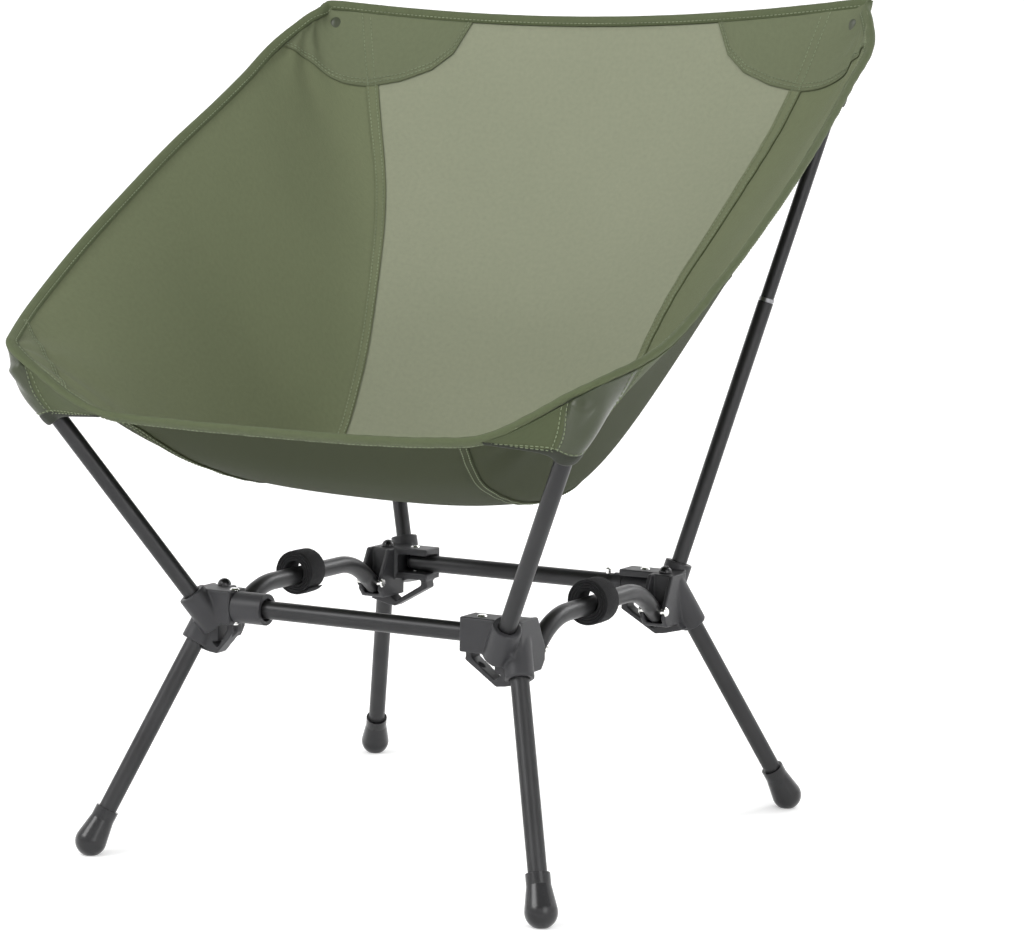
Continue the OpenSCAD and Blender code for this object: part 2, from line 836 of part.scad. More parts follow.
hub_front_left();
hub_front_right();
hub_rear_left();
hub_rear_right();
side_bar_left();
side_bar_right();
side_bar_rivets();
channel_rivets();
hub_plugs();
leg_cords();
pole_cords();
front_crossbar();
front_latch_collar();
rear_crossbar();
rear_latch_sleeve();
snap_button();
snap_spring();
tie_strap_left();
tie_strap_right();
leg_front_left();
leg_front_right();
leg_rear_left();
leg_rear_right();
foot_front_left();
foot_front_right();
foot_rear_left();
foot_rear_right();
pole_front_left();
pole_front_right();
pole_tip_front_left();
pole_tip_front_right();
pole_rear_lower_left();
pole_rear_lower_right();
pole_rear_upper_left();
pole_rear_upper_right();
ferrule_left();
ferrule_right();
pole_tip_rear_left();
pole_tip_rear_right();
seat_centre_panel();
seat_side_left();
seat_side_right();
pocket_front_left();
pocket_front_right();
pocket_rear_left();
pocket_rear_right();
edge_binding();
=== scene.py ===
"""Looks for the ultralight backpacking chair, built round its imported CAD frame.

The seat is one curved surface, with u across it (0 middle, 0.5 seam, 1 rim) and v
from the front edge (0) to the top edge (1). Panels, binding, patches and stitches
all lie on that surface, so they meet. Metres, +Z up, -Y is the front.
"""
import json
import math

import bpy
import numpy as np
from mathutils import Matrix, Vector, noise


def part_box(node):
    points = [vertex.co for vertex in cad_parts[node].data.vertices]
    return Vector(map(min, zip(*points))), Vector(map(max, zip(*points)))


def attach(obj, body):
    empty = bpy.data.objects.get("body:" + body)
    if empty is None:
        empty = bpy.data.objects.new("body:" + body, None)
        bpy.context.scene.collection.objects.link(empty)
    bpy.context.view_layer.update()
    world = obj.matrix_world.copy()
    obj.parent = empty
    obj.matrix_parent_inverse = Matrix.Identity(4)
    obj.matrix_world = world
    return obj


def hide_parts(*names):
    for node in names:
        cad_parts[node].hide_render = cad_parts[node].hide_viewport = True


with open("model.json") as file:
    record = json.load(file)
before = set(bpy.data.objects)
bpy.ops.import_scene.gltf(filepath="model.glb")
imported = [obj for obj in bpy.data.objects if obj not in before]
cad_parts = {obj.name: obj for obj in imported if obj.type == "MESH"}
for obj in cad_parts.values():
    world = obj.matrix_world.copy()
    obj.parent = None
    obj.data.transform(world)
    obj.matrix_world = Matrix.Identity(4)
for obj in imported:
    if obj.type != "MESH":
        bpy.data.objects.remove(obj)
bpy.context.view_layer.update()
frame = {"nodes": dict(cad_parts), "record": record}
nodes = frame["nodes"]

# ---- camera and stage --------------------------------------------------------------

CAMERA_PLACE = Vector((1.1558, -2.0707, 0.5812))
CAMERA_YAW, CAMERA_PITCH, CAMERA_ROLL = (math.radians(a) for a in (27.946, 6.797, 1.038))
CAMERA_LENS_MM = 103.28
FLOOR_R, WALL_BEND, WALL_TOP = 4.0, 2.0, 4.5


def make_camera():
    """A long lens in front of the chair and to its right, above the seat's front edge."""
    forward = Vector((-math.sin(CAMERA_YAW) * math.cos(CAMERA_PITCH),
                      math.cos(CAMERA_YAW) * math.cos(CAMERA_PITCH),
                      -math.sin(CAMERA_PITCH)))
    level = Vector((math.cos(CAMERA_YAW), math.sin(CAMERA_YAW), 0))
    upright = level.cross(forward)
    right = level * math.cos(CAMERA_ROLL) + upright * math.sin(CAMERA_ROLL)
    up = upright * math.cos(CAMERA_ROLL) - level * math.sin(CAMERA_ROLL)
    data = bpy.data.cameras.new("camera")
    data.lens = CAMERA_LENS_MM
    data.sensor_width = 36
    data.sensor_fit = "HORIZONTAL"
    camera = bpy.data.objects.new("camera", data)
    turn = Matrix((right, up, -forward)).transposed().to_4x4()
    camera.matrix_world = Matrix.Translation(CAMERA_PLACE) @ turn
    bpy.context.scene.collection.objects.link(camera)
    bpy.context.scene.camera = camera


def area_light(name, place, aim, size, watts):
    """A soft rectangular light that faces a point."""
    data = bpy.data.lights.new(name, "AREA")
    data.shape = "RECTANGLE"
    data.size, data.size_y = size
    data.energy = watts
    light = bpy.data.objects.new(name, data)
    light.location = place
    light.rotation_euler = (Vector(aim) - Vector(place)).to_track_quat("-Z", "Y").to_euler()
    bpy.context.scene.collection.objects.link(light)


def make_stage():
    """White surroundings, three soft lights, and a floor that curves up into a wall."""
    world = bpy.data.worlds.new("studio")
    world.use_nodes = True
    background = world.node_tree.nodes["Background"]
    background.inputs["Color"].default_value = (1, 1, 1, 1)
    background.inputs["Strength"].default_value = 0.75
    bpy.context.scene.world = world
    bpy.context.scene.view_settings.view_transform = "Standard"
    middle = (0, 0, 0.35)
    area_light("key", (-1.6, -2.2, 2.6), middle, (1.8, 1.8), 62)
    area_light("fill", (2.6, -1.6, 1.5), middle, (1.6, 2.0), 22)
    area_light("rim", (1.2, 2.6, 2.0), middle, (1.6, 1.2), 30)
    bowl = [(FLOOR_R * math.sin(math.pi / 2 * k / 8), 0) for k in range(9)]
    bowl += [(FLOOR_R + WALL_BEND * math.sin(math.pi / 2 * k / 12),
              WALL_BEND * (1 - math.cos(math.pi / 2 * k / 12))) for k in range(1, 13)]
    bowl.append((FLOOR_R + WALL_BEND, WALL_TOP))
    sides = 96
    points = [(0, 0, 0)] + [(r * math.cos(2 * math.pi * k / sides),
                             r * math.sin(2 * math.pi * k / sides), z)
                            for r, z in bowl[1:] for k in range(sides)]
    faces = [(0, 1 + k, 1 + (k + 1) % sides) for k in range(sides)]
    for i in range(len(bowl) - 2):
        a, b = 1 + i * sides, 1 + (i + 1) * sides
        faces += [(a + k, b + k, b + (k + 1) % sides, a + (k + 1) % sides)
                  for k in range(sides)]
    data = bpy.data.meshes.new("floor")
    data.from_pydata(points, [], faces)
    data.polygons.foreach_set("use_smooth", [True] * len(faces))
    floor = bpy.data.objects.new("floor", data)
    bpy.context.scene.collection.objects.link(floor)
    paper = plain_material("floor_paper", (0.93, 0.93, 0.93), 0.9)
    shader = paper.node_tree.nodes["Principled BSDF"]
    shader.inputs["Emission Color"].default_value = (1, 1, 1, 1)
    shader.inputs["Emission Strength"].default_value = 0.24
    floor.data.materials.append(paper)


# ---- materials -----------------------------------------------------------------------

def new_material(name):
    material = bpy.data.materials.new(name)
    material.use_nodes = True
    tree = material.node_tree
    return material, tree, tree.nodes["Principled BSDF"]


def link(tree, source, out, target, into):
    tree.links.new(source.outputs[out], target.inputs[into])


def add_node(tree, kind, **values):
    node = tree.nodes.new(kind)
    for key, value in values.items():
        if hasattr(node, key):
            setattr(node, key, value)
        else:
            node.inputs[key.replace("_", " ")].default_value = value
    return node


def colour_ramp(tree, low, high, start=0.3, end=0.7):
    ramp = tree.nodes.new("ShaderNodeValToRGB")
    ramp.color_ramp.elements[0].color = (*low, 1)
    ramp.color_ramp.elements[0].position = start
    ramp.color_ramp.elements[1].color = (*high, 1)
    ramp.color_ramp.elements[1].position = end
    return ramp


def shade(colour, factor):
    return tuple(min(1, c * factor) for c in colour)


def plain_material(name, colour, roughness, variation=0.04):
    """A matte surface with a faint cloudiness."""
    material, tree, shader = new_material(name)
    place = tree.nodes.new("ShaderNodeTexCoord")
    clouds = add_node(tree, "ShaderNodeTexNoise", Scale=3.0, Detail=3.0)
    link(tree, place, "Object", clouds, "Vector")
    ramp = colour_ramp(tree, shade(colour, 1 - variation), colour)
    link(tree, clouds, "Fac", ramp, "Fac")
    link(tree, ramp, "Color", shader, "Base Color")
    shader.inputs["Roughness"].default_value = roughness
    return material


def hard_material(name, colour, roughness, metallic=0.0, grain=900.0, bump=0.03,
                  coat=0.0, wear=0.25):
    """Moulded plastic, rubber or metal: fine grain, soft blotches, a little wear."""
    material, tree, shader = new_material(name)
    place = tree.nodes.new("ShaderNodeTexCoord")
    clouds = add_node(tree, "ShaderNodeTexNoise", Scale=22.0, Detail=5.0)
    fine = add_node(tree, "ShaderNodeTexNoise", Scale=grain, Detail=2.0)
    link(tree, place, "Object", clouds, "Vector")
    link(tree, place, "Object", fine, "Vector")
    ramp = colour_ramp(tree, shade(colour, 1 - wear), shade(colour, 1 + wear))
    link(tree, clouds, "Fac", ramp, "Fac")
    link(tree, ramp, "Color", shader, "Base Color")
    rough = add_node(tree, "ShaderNodeMapRange", To_Min=roughness - 0.06,
                     To_Max=roughness + 0.08)
    link(tree, fine, "Fac", rough, "Value")
    link(tree, rough, "Result", shader, "Roughness")
    relief = add_node(tree, "ShaderNodeBump", Strength=bump, Distance=0.0004)
    link(tree, fine, "Fac", relief, "Height")
    link(tree, relief, "Normal", shader, "Normal")
    shader.inputs["Metallic"].default_value = metallic
    shader.inputs["Specular IOR Level"].default_value = 0.32
    shader.inputs["Coat Weight"].default_value = coat
    shader.inputs["Coat Roughness"].default_value = 0.25
    return material


def cloth_material(name, colour, roughness=0.82, thread=0.00055, sheen=0.04, coat=0.0,
                   depth=0.35):
    """Plain-weave polyester. The UV map is in metres, so the weave keeps its real size."""
    material, tree, shader = new_material(name)
    cloth = tree.nodes.new("ShaderNodeUVMap")
    cloth.uv_map = "cloth"
    turns = 2 * math.pi / (20 * thread)
    warp = add_node(tree, "ShaderNodeTexWave", wave_type="BANDS", bands_direction="X",
                    Scale=turns, Distortion=0.6, Detail=1.0)
    weft = add_node(tree, "ShaderNodeTexWave", wave_type="BANDS", bands_direction="Y",
                    Scale=turns, Distortion=0.6, Detail=1.0)
    slubs = add_node(tree, "ShaderNodeTexNoise", Scale=260.0, Detail=4.0)
    clouds = add_node(tree, "ShaderNodeTexNoise", Scale=5.0, Detail=4.0)
    for texture in (warp, weft, slubs, clouds):
        link(tree, cloth, "UV", texture, "Vector")
    weave = add_node(tree, "ShaderNodeMath", operation="MULTIPLY")
    link(tree, warp, "Fac", weave, 0)
    link(tree, weft, "Fac", weave, 1)
    height = add_node(tree, "ShaderNodeMath", operation="ADD")
    link(tree, weave, "Value", height, 0)
    link(tree, slubs, "Fac", height, 1)
    tone = colour_ramp(tree, shade(colour, 0.90), shade(colour, 1.08), 0.35, 1.25)
    link(tree, height, "Value", tone, "Fac")
    fade = colour_ramp(tree, (0.94, 0.95, 0.94), (1.0, 1.0, 1.0))
    link(tree, clouds, "Fac", fade, "Fac")
    mix = add_node(tree, "ShaderNodeMix", data_type="RGBA", blend_type="MULTIPLY")
    mix.inputs["Factor"].default_value = 1.0
    tree.links.new(tone.outputs["Color"], mix.inputs[6])
    tree.links.new(fade.outputs["Color"], mix.inputs[7])
    tree.links.new(mix.outputs[2], shader.inputs["Base Color"])
    relief = add_node(tree, "ShaderNodeBump", Strength=depth, Distance=0.0002)
    link(tree, height, "Value", relief, "Height")
    link(tree, relief, "Normal", shader, "Normal")
    shader.inputs["Roughness"].default_value = roughness
    shader.inputs["Specular IOR Level"].default_value = 0.22
    shader.inputs["Sheen Weight"].default_value = sheen
    shader.inputs["Sheen Roughness"].default_value = 0.5
    shader.inputs["Coat Weight"].default_value = coat
    shader.inputs["Coat Roughness"].default_value = 0.3
    return material


MATERIALS = {
    "seat_fabric": cloth_material("seat_weave", (0.215, 0.228, 0.158)),
    "side_fabric": cloth_material("side_weave", (0.122, 0.139, 0.076)),
    "pocket_fabric": cloth_material("coated_weave", (0.036, 0.044, 0.021), 0.36, coat=0.35),
    "patch": cloth_material("patch_weave", (0.115, 0.131, 0.075)),
    # painted shade: the underside cloth is far darker than the inner face, standing for the
    # shade under the seat
    "outer": cloth_material("shaded_outer_weave", (0.030, 0.036, 0.015), 0.8, sheen=0.0),
    # painted shade: the patch's outside copy is about half as bright as its inside, standing
    # for shade on the outer faces
    "shaded_outer_patch": cloth_material("shaded_outer_patch_weave", (0.062, 0.075, 0.036), 0.75),
    "hem": cloth_material("dark_hem", (0.022, 0.025, 0.017), 0.55),
    "binding_tape": cloth_material("ribbed_tape", (0.080, 0.096, 0.048), thread=0.0009,
                                   depth=0.6),
    "thread": hard_material("thread", (0.17, 0.20, 0.12), 0.7, grain=2500.0, bump=0.2),
    "hub_nylon": hard_material("moulded_nylon", (0.026, 0.026, 0.028), 0.42, bump=0.10,
                               wear=0.12),
    "pole_alloy": hard_material("anodised_alloy", (0.040, 0.040, 0.041), 0.36, 0.75,
                                grain=1500.0, bump=0.05, wear=0.10),
    "ferrule_alloy": hard_material("turned_alloy", (0.30, 0.30, 0.31), 0.3, 1.0),
    "rivet_steel": hard_material("nickel_plate", (0.80, 0.80, 0.78), 0.16, 1.0, wear=0.05),
    "spring_steel": hard_material("spring_wire", (0.5, 0.5, 0.5), 0.3, 1.0, wear=0.08),
    "shock_cord": hard_material("cord_sheath", (0.02, 0.02, 0.02), 0.8, bump=0.4),
    "foot_rubber": hard_material("smooth_rubber", (0.006, 0.006, 0.007), 0.24, bump=0.03,
                                 coat=0.3),
    "tip_plastic": hard_material("tip_plastic", (0.015, 0.015, 0.016), 0.4),
    "hook_loop": hard_material("napped_loop", (0.013, 0.013, 0.014), 0.95, grain=1400.0,
                               bump=0.9),
}

# ---- mesh helpers ----------------------------------------------------------------------


def add_mesh(name, points, faces, slot, body, uvs=None, material=None, smooth=True):
    """A new piece that rides on a body, with its UVs given per point."""
    data = bpy.data.meshes.new(name)
    data.from_pydata([tuple(map(float, p)) for p in points], [], faces)
    data.update()
    if uvs is not None:
        layer = data.uv_layers.new(name="cloth")
        flat = np.asarray(uvs, float)
        corners = np.empty(len(data.loops), dtype=np.int64)
        data.loops.foreach_get("vertex_index", corners)
        layer.data.foreach_set("uv", flat[corners].astype(np.float32).ravel())
    data.polygons.foreach_set("use_smooth", [smooth] * len(data.polygons))
    data.materials.append(material or MATERIALS[slot])
    piece = bpy.data.objects.new(name, data)
    bpy.context.scene.collection.objects.link(piece)
    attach(piece, body)
    return piece


def tube_mesh(rings, closed=False, caps=True):
    """Points and faces of a skin over rings of equal length, and its UVs in metres."""
    rings = np.asarray(rings, float)
    count, sides = rings.shape[:2]
    middle = rings.mean(axis=1)
    along = np.concatenate([[0], np.cumsum(np.linalg.norm(np.diff(middle, axis=0), axis=1))])
    around = np.linalg.norm(np.diff(rings[0], axis=0, append=rings[:1, 0]), axis=1).cumsum()
    uvs = [(around[k], along[i]) for i in range(count) for k in range(sides)]
    faces = []
    for i in range(count if closed else count - 1):
        a, b = i * sides, ((i + 1) % count) * sides
        for k in range(sides):
            k1 = (k + 1) % sides
            faces.append((a + k, a + k1, b + k1, b + k))
    if caps and not closed:
        faces.append(tuple(range(sides))[::-1])
        faces.append(tuple((count - 1) * sides + k for k in range(sides)))
    return rings.reshape(-1, 3), faces, uvs


# ---- the seat surface --------------------------------------------------------------------

# The same guide lines as part.scad: front edge first, top edge last
SEAT_MIDDLE = np.array([(0, -.246, .352), (0, -.175, .307), (0, -.080, .283), (0, .010, .286),
                        (0, .082, .345), (0, .135, .435), (0, .188, .515), (0, .227, .595),
                        (0, .251, .674)])
SEAT_SEAM = np.array([(.150, -.252, .357), (.128, -.180, .317), (.118, -.085, .293),
                      (.118, .005, .304), (.126, .062, .365), (.142, .113, .440),
                      (.168, .168, .515), (.200, .208, .595), (.226, .236, .685)])
SEAT_RIM = np.array([(.255, -.255, .402), (.281, -.190, .428), (.291, -.110, .476),
                     (.294, -.030, .524), (.294, .030, .560), (.291, .085, .592),
                     (.288, .130, .620), (.285, .175, .650), (.264, .220, .684)])
FABRIC = 0.0011             # thickness of the cloth
CORNER_U, CORNER_V_TOP, CORNER_V_FRONT = 0.11, 0.040, 0.022
CORNERS = ((1, 1), (-1, 1), (1, 0), (-1, 0))


def spline(guide, t):
    """Points on a smooth curve through the guide points, with t from 0 to 1."""
    t = np.asarray(t, float)
    last = len(guide) - 1
    x = t * last
    i = np.minimum(np.floor(x).astype(int), last - 1)
    f = (x - i)[..., None]
    padded = np.vstack([2 * guide[0] - guide[1], guide, 2 * guide[-1] - guide[-2]])
    a, b, c, d = (padded[i + k] for k in range(4))
    return 0.5 * (2 * b + (c - a) * f + (2 * a - 5 * b + 4 * c - d) * f ** 2
                  + (3 * b - a - 3 * c + d) * f ** 3)


def round_corners(u, v):
    """Draws the square's corners in to smooth arcs, and leaves the rest alone."""
    u, v = np.array(u, float), np.array(v, float)
    for at_top, reach in ((True, CORNER_V_TOP), (False, CORNER_V_FRONT)):
        a = (np.abs(u) - (1 - CORNER_U)) / CORNER_U
        b = ((v - (1 - reach)) if at_top else (reach - v)) / reach
        near = (a > 0) & (b > 0)
        a2 = a * np.sqrt(np.maximum(1 - b * b / 2, 0))
        b2 = b * np.sqrt(np.maximum(1 - a * a / 2, 0))
        u = np.where(near, np.sign(u) * (1 - CORNER_U + CORNER_U * a2), u)
        moved = (1 - reach + reach * b2) if at_top else (reach - reach * b2)
        v = np.where(near, moved, v)
    return u, v


def base_surface(u, v):
    """The smooth seat: a parabola between the seams, and a cubic out to each rim."""
    u, v = round_corners(u, v)
    m, s, r = spline(SEAT_MIDDLE, v), spline(SEAT_SEAM, v), spline(SEAT_RIM, v)
    a = np.abs(u)[..., None]
    k = 2 * a
    inner = m + (s - m) * k * k
    inner[..., 0] = s[..., 0] * k[..., 0]
    q = 2 * a - 1
    slope = 1.6 * (s - m)
    slope[..., 0] = 0.8 * s[..., 0]
    outer = (s * (1 - q) ** 2 * (1 + 2 * q) + r * q * q * (3 - 2 * q)
             + slope * q * (1 - q) ** 2 + (r - s) * 0.9 * q * q * (q - 1))
    point = np.where(a <= 0.5, inner, outer)
    point[..., 0] *= np.where(u < 0, -1, 1)
    return point


def surface_normal(u, v):
    """The unit direction off the smooth seat, towards the sitter."""
    h = 0.006
    across = base_surface(np.minimum(u + h, 1), v) - base_surface(np.maximum(u - h, -1), v)
    along = base_surface(u, np.minimum(v + h, 1)) - base_surface(u, np.maximum(v - h, 0))
    n = np.cross(across, along)
    return n / np.maximum(np.linalg.norm(n, axis=-1, keepdims=True), 1e-9)


def creases(u, v):
    """How far the cloth stands off its smooth surface: pull lines and seam puckers."""
    a = np.abs(u)
    lift = 0.0010 * np.sin(7 * u + 2.1) * np.sin(5.3 * v + 0.7)
    for side, top in CORNERS:
        dx, dy = (side * u - 1) * 0.26, (v - top) * 0.65
        far = np.hypot(dx, dy)
        angle = np.arctan2(dy * (1 if top else -1), -dx)
        fan = np.exp(-((far - 0.075) / 0.055) ** 2)
        lift = lift + 0.0011 * fan * np.sin(15 * angle + 1.3 * side + 2 * top)
    seam = np.exp(-(np.abs(a - 0.5) / 0.035))
    lift = lift + 0.00028 * seam * np.sin(150 * v + 3 * np.sin(31 * v))
    rim = np.exp(-((1 - a) / 0.05))
    lift = lift + 0.00010 * rim * np.sin(120 * v + 2 * np.sin(23 * v) + 1.5 * np.sign(u))
    edge = np.exp(-(np.minimum(v, 1 - v) / 0.022))
    return lift + 0.00010 * edge * np.sin(52 * u + 2 * np.sin(11 * u))


def seat(u, v, lift=0.0):
    """Points on the seat; lift is the height over it, towards the sitter."""
    u, v = np.asarray(u, float), np.asarray(v, float)
    return base_surface(u, v) + surface_normal(u, v) * (creases(u, v) + lift)[..., None]


def arc_uvs(grid):
    """UVs in metres along the rows and columns of a grid of points."""
    across = np.linalg.norm(np.diff(grid, axis=1), axis=-1)
    along = np.linalg.norm(np.diff(grid, axis=0), axis=-1)
    x = np.concatenate([np.zeros((grid.shape[0], 1)), np.cumsum(across, axis=1)], axis=1)
    y = np.concatenate([np.zeros((1, grid.shape[1])), np.cumsum(along, axis=0)], axis=0)
    return np.stack([x - x.mean(axis=1, keepdims=True), y], axis=-1)


def skin(name, high, low, slot, material=None, outer=None):
    """A closed skin between two grids of points; outer is the low face's material, a darker
    copy of the cloth that paints the shade under the seat.
    """
    rows, cols = high.shape[:2]
    n = rows * cols
    tops, unders = [], []
    for j in range(rows - 1):
        for i in range(cols - 1):
            a = j * cols + i
            quad = (a, a + 1, a + cols + 1, a + cols)
            tops.append(quad)
            unders.append(tuple(n + k for k in reversed(quad)))
    edge = [i for i in range(cols)]
    edge += [j * cols + cols - 1 for j in range(1, rows)]
    edge += [(rows - 1) * cols + i for i in range(cols - 2, -1, -1)]
    edge += [j * cols for j in range(rows - 2, 0, -1)]
    sides = [(b, a, n + a, n + b) for a, b in zip(edge, edge[1:] + edge[:1])]
    uvs = arc_uvs(high).reshape(-1, 2)
    piece = add_mesh(name, np.vstack([high.reshape(-1, 3), low.reshape(-1, 3)]),
                     tops + unders + sides, slot, "seat_cover", np.vstack([uvs, uvs]),
                     material)
    if outer:
        piece.data.materials.append(outer)
        for k in range(len(tops), len(tops) + len(unders)):
            piece.data.polygons[k].material_index = 1
    return piece


def cloth_grid(name, u, v, slot, lift=0.0, thickness=FABRIC, material=None, outer=None):
    """A closed skin of cloth over a grid of (u, v), lying at a height over the seat."""
    return skin(name, seat(u, v, lift + thickness / 2), seat(u, v, lift - thickness / 2),
                slot, material, outer)


def span_grid(u0, u1, v0, v1, cols, rows):
    """A grid from u0 to u1 and v0 to v1, where v0 and v1 may be functions of u."""
    u = np.linspace(u0, u1, cols)
    low = v0(u) if callable(v0) else np.full(cols, v0)
    high = v1(u) if callable(v1) else np.full(cols, v1)
    t = np.linspace(0, 1, rows)[:, None]
    return np.tile(u, (rows, 1)), low + (high - low) * t


def dense(path, step=0.0015):
    """Evenly spaced (u, v) along a path of (u, v), by its length on the seat."""
    path = np.asarray(path, float)
    t = np.linspace(0, len(path) - 1, 60 * len(path))
    u = np.interp(t, range(len(path)), path[:, 0])
    v = np.interp(t, range(len(path)), path[:, 1])
    run = np.concatenate([[0], np.cumsum(np.linalg.norm(np.diff(seat(u, v), axis=0),
                                                        axis=1))])
    even = np.arange(0, run[-1], step)
    return np.interp(even, run, u), np.interp(even, run, v)


# ---- stitches -------------------------------------------------------------------------

STITCH, STITCH_GAP, STITCH_R = 0.0026, 0.0012, 0.00032
stitch_points, stitch_faces = [], []


def sew(points, normals):
    """Adds a row of raised stitches along a line of points."""
    points = np.asarray(points)
    run = np.concatenate([[0], np.cumsum(np.linalg.norm(np.diff(points, axis=0), axis=1))])
    for start in np.arange(0, run[-1] - STITCH, STITCH + STITCH_GAP):
        ends = [np.array([np.interp(s, run, points[:, k]) for k in range(3)])
                for s in (start, start + STITCH)]
        n = normals[min(int(np.searchsorted(run, start)), len(normals) - 1)]
        d = (ends[1] - ends[0]) / max(np.linalg.norm(ends[1] - ends[0]), 1e-9)
        side = np.cross(n, d)
        first = len(stitch_points)
        for t, r in ((0, 0.4), (0.2, 1), (0.8, 1), (1, 0.4)):
            centre = ends[0] + (ends[1] - ends[0]) * t
            for k in range(6):
                angle = math.pi * k / 3
                stitch_points.append(centre + STITCH_R * r * (side * math.cos(angle) * 1.3
                                                              + n * math.sin(angle)))
        for ring in range(3):
            for k in range(6):
                a, b = first + ring * 6, first + ring * 6 + 6
                k1 = (k + 1) % 6
                stitch_faces.append((a + k, a + k1, b + k1, b + k))
        stitch_faces.append(tuple(first + k for k in range(5, -1, -1)))
        stitch_faces.append(tuple(first + 18 + k for k in range(6)))


def sew_on_seat(path, lift, underside=False):
    """Stitches along a path of (u, v), on the seat's inner face or its underside."""
    u, v = dense(path)
    sign = -1 if underside else 1
    sew(seat(u, v, sign * lift), surface_normal(u, v) * sign)


# ---- seat panels ------------------------------------------------------------------------

def seat_panels():
    """The three panels, each one closed skin with a darker cloth on the outer face, painted
    shade for the seat's underside.
    """
    centre = cloth_grid("centre_cloth", *span_grid(-0.5, 0.5, 0, 1, 121, 201), "seat_fabric",
                        outer=MATERIALS["outer"])
    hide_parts("seat_centre_panel")
    for side, word in ((-1, "left"), (1, "right")):
        low, high = sorted((side * 0.5, side * 1.0))
        panel = cloth_grid("side_cloth_" + word, *span_grid(low, high, 0, 1, 81, 201),
                           "side_fabric", outer=MATERIALS["outer"])
        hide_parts("seat_side_" + word)
        felled_seam(side, word)


SEAM_WIDTH = 0.032          # in u


def felled_seam(side, word):
    """The folded seam between centre and side panel, with its two rows of stitches."""
    u, v = span_grid(side * 0.5 - SEAM_WIDTH / 2, side * 0.5 + SEAM_WIDTH / 2, 0, 1, 7, 401)
    # the outside strip takes the underside cloth, whose darkness is painted shade
    for lift, end in ((0.0012, "inside"), (-0.0012, "outside")):
        strip = cloth_grid("seam_%s_%s" % (word, end), u, v, "side_fabric", lift,
                           material=MATERIALS["side_fabric" if lift > 0 else "outer"])
    for offset in (-0.3, 0.3):
        at = side * 0.5 + offset * SEAM_WIDTH
        sew_on_seat([(at, 0.01), (at, 0.99)], 0.0019)
        sew_on_seat([(at, 0.01), (at, 0.99)], 0.0019, True)


def corner_patches():
    """Doubled cloth at the four corners, on both faces."""
    for side, word in ((-1, "left"), (1, "right")):
        def top_edge(u, side=side):
            a = np.abs(u)
            return np.interp(a, [0.26, 0.31, 0.36, 0.43, 0.50, 0.60, 0.80, 1.0],
                             [0.995, 0.945, 0.922, 0.906, 0.898, 0.897, 0.897, 0.878])

        low, high = sorted((side * 0.262, side * 1.0))
        # the outside face takes the darker patch cloth, which is painted shade
        for lift, face in ((0.0014, "inside"), (-0.0014, "outside")):
            patch = cloth_grid("top_patch_%s_%s" % (word, face),
                               *span_grid(low, high, top_edge, 1, 61, 25),
                               "pocket_fabric", lift, 0.0009,
                               MATERIALS["patch" if lift > 0 else "shaded_outer_patch"])
        outline = [(side * a, float(top_edge(np.array(a)))) for a in
                   (0.275, 0.31, 0.36, 0.43, 0.50, 0.60, 0.70, 0.80, 0.90, 0.99)]
        for inset in (0.0045, 0.0090):
            row = [(u, min(v + inset, 0.995)) for u, v in outline]
            sew_on_seat(row, 0.0022)
            sew_on_seat(row, 0.0022, True)

        def front_edge(u, side=side):
            return np.interp(np.abs(u), [0.66, 0.72, 0.86, 1.0], [0.0, 0.012, 0.056, 0.105])

        low, high = sorted((side * 0.665, side * 1.0))
        # the outside face takes the darker patch cloth, which is painted shade
        for lift, face in ((0.0014, "inside"), (-0.0014, "outside")):
            patch = cloth_grid("front_patch_%s_%s" % (word, face),
                               *span_grid(low, high, 0, front_edge, 41, 25),
                               "pocket_fabric", lift, 0.0009,
                               MATERIALS["patch" if lift > 0 else "shaded_outer_patch"])
        outline = [(side * a, float(front_edge(np.array(a)))) for a in
                   (0.69, 0.72, 0.79, 0.86, 0.93, 0.99)]
        for inset in (0.004, 0.009):
            row = [(u, max(v - inset, 0.002)) for u, v in outline]
            sew_on_seat(row, 0.0022)
            sew_on_seat(row, 0.0022, True)


def binding_loop():
    """(u, v) round the seat's edge, with the unit direction into the seat at each."""
    across, along = np.linspace(-1, 1, 260), np.linspace(0, 1, 300)
    loop = np.array([(u, 0) for u in across[:-1]] + [(1, v) for v in along[:-1]]
                    + [(u, 1) for u in across[::-1][:-1]]
                    + [(-1, v) for v in along[::-1][:-1]])
    points = seat(loop[:, 0], loop[:, 1])
    # equal steps round the loop
    closed = np.vstack([points, points[:1]])
    run = np.concatenate([[0], np.cumsum(np.linalg.norm(np.diff(closed, axis=0), axis=1))])
    even = np.linspace(0, run[-1], 900, endpoint=False)
    path = np.stack([np.interp(even, run, closed[:, k]) for k in range(3)], axis=1)
    for _ in range(3):
        path = (np.roll(path, 1, 0) + 2 * path + np.roll(path, -1, 0)) / 4
    tangent = np.roll(path, -3, 0) - np.roll(path, 3, 0)
    tangent /= np.linalg.norm(tangent, axis=1, keepdims=True)
    normals = surface_normal(loop[:, 0], loop[:, 1])
    normal = np.stack([np.interp(even, run[:-1], normals[:, k]) for k in range(3)], axis=1)
    for _ in range(12):
        normal = (np.roll(normal, 1, 0) + normal + np.roll(normal, -1, 0)) / 3
    normal -= tangent * (normal * tangent).sum(1, keepdims=True)
    normal /= np.linalg.norm(normal, axis=1, keepdims=True)
    inward = np.cross(normal, tangent)
    return path, inward, normal


TAPE_WIDTH = 0.0085


